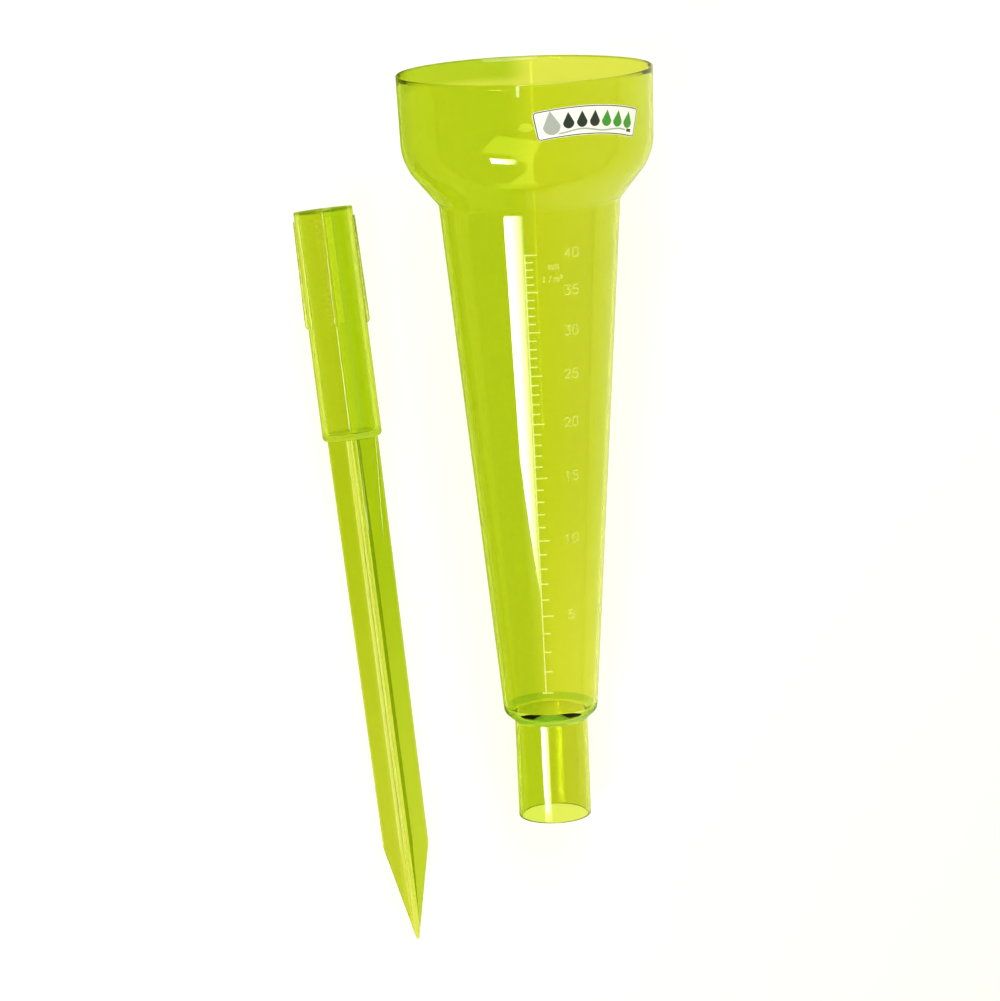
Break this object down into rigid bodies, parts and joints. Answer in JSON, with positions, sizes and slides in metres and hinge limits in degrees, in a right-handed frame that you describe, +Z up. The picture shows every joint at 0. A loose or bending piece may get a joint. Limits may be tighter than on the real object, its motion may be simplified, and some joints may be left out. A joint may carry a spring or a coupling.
{
  "type": "manual rain gauge",
  "caption": "Clear lime green plastic rain gauge: a wide catch bowl on a tapered measuring cone with a raised millimetre scale, lying beside its loose cross-shaped ground stake.",
  "frame": {"origin": "middle of the two pieces' joint footprint, on the surface that they lie on", "axes": "+Y towards the mouth of the gauge, +Z up, +X to the side away from the stake"},
  "size_m": [0.1137, 0.2857, 0.0815],
  "materials": {
    "clear_lime_plastic": "clear moulded plastic, lime green, polished",
    "raised_marks": "raised marks moulded in the same clear plastic, which catch the light",
    "label_film": "white printed film with a satin face"
  },
  "bodies": {
    "gauge": {"catch_bowl": "clear_lime_plastic", "measuring_cone": "clear_lime_plastic", "cone_floor": "clear_lime_plastic", "mounting_tube": "clear_lime_plastic", "rain_scale": "raised_marks", "scale_numerals": "raised_marks", "unit_marks": "raised_marks", "label": "label_film"},
    "stake": {"stake_plug": "clear_lime_plastic", "grip_ribs": "clear_lime_plastic", "ground_blade": "clear_lime_plastic", "stake_point": "clear_lime_plastic"}
  },
  "joints": [
    {"name": "stake_lift", "type": "slide", "parent": "gauge", "child": "stake", "axis": [0, 0, 1], "range_m": [0, 0.12]}
  ]
}
